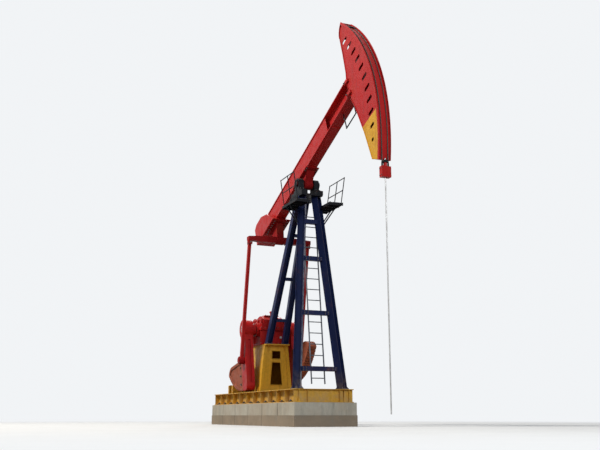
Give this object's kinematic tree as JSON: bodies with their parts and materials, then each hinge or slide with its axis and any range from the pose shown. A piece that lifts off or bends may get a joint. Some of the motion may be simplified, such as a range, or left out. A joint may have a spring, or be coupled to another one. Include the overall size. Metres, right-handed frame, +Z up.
{
  "type": "beam pumping unit",
  "caption": "Crank-balanced beam pumping unit with horsehead, gearbox, A-frame tower and skid on a concrete foundation.",
  "frame": {"origin": "centre of the foundation's underside, on the ground", "axes": "+X towards the well and the horsehead, +Y to the left seen from the well's far side, +Z up"},
  "size_m": [10.409, 2.084, 10.3968],
  "materials": {
    "red_paint": "gloss enamel, weathered",
    "yellow_paint": "gloss enamel, weathered",
    "navy_paint": "gloss enamel",
    "black_paint": "enamel",
    "grey_paint": "enamel",
    "rust_iron": "primer, faded",
    "galvanised": "dull zinc",
    "steel": "bright, oiled",
    "wire_rope": "greased wire rope",
    "concrete": "precast concrete, dusty"
  },
  "bodies": {
    "frame": {"foundation_slab": "concrete", "foundation_blocks": "concrete", "skid_beam_left": "yellow_paint", "skid_beam_right": "yellow_paint", "skid_cross_beams": "yellow_paint", "front_leg_left": "navy_paint", "front_leg_right": "navy_paint", "rear_leg_left": "navy_paint", "rear_leg_right": "navy_paint", "front_crossbars": "navy_paint", "rear_crossbars": "navy_paint", "ladder": "galvanised", "tower_cap": "black_paint", "saddle_bearings": "black_paint", "platforms": "black_paint", "handrails": "black_paint", "gearbox_pedestal": "yellow_paint", "gearbox_lower": "red_paint", "gearbox_cover": "red_paint", "belt_guard": "yellow_paint", "motor": "grey_paint", "motor_base": "yellow_paint", "brake_drum": "red_paint"},
    "beam": {"walking_beam": "red_paint", "tail_box": "red_paint", "tail_bracket": "red_paint", "saddle_bracket": "red_paint", "horsehead_side_left": "red_paint", "horsehead_side_right": "red_paint", "horsehead_arc_plate": "red_paint", "horsehead_web": "red_paint", "head_rail": "black_paint", "arc_wires": "wire_rope"},
    "equalizer": {"equalizer": "red_paint", "pitman_left": "red_paint", "pitman_right": "red_paint", "wrist_bearings": "red_paint"},
    "cranks": {"crank_left": "red_paint", "crank_right": "red_paint", "counterweight_left": "rust_iron", "counterweight_right": "rust_iron", "crank_shaft": "steel"},
    "hanger": {"bridle_wires": "wire_rope", "carrier_bar": "red_paint", "polished_rod": "steel"}
  },
  "joints": [
    {"name": "beam_pivot", "type": "hinge", "parent": "frame", "child": "beam", "pos_m": [2.3, 0, 6.64], "axis": [0, 1, 0], "range_deg": [0, 46.01]},
    {"name": "equalizer_pivot", "type": "hinge", "parent": "beam", "child": "equalizer", "pos_m": [0.16763, 0, 5.43356], "axis": [0, 1, 0], "range_deg": [-48.68, 0]},
    {"name": "crank_turn", "type": "hinge", "parent": "frame", "child": "cranks", "pos_m": [-0.6, 0, 2.8], "axis": [0, 1, 0], "range_deg": [-163.08, 0]},
    {"name": "hanger_slide", "type": "slide", "parent": "frame", "child": "hanger", "axis": [0, 0, -1], "range_m": [0, 3.65], "deforming": ["bridle_wires"]}
  ],
  "couplings": [
    {"joint": "equalizer_pivot", "follows": "beam_pivot", "ratio": -1.0578},
    {"joint": "crank_turn", "follows": "beam_pivot", "ratio": -3.5442},
    {"joint": "hanger_slide", "follows": "beam_pivot", "m_per_rad": 4.544}
  ]
}
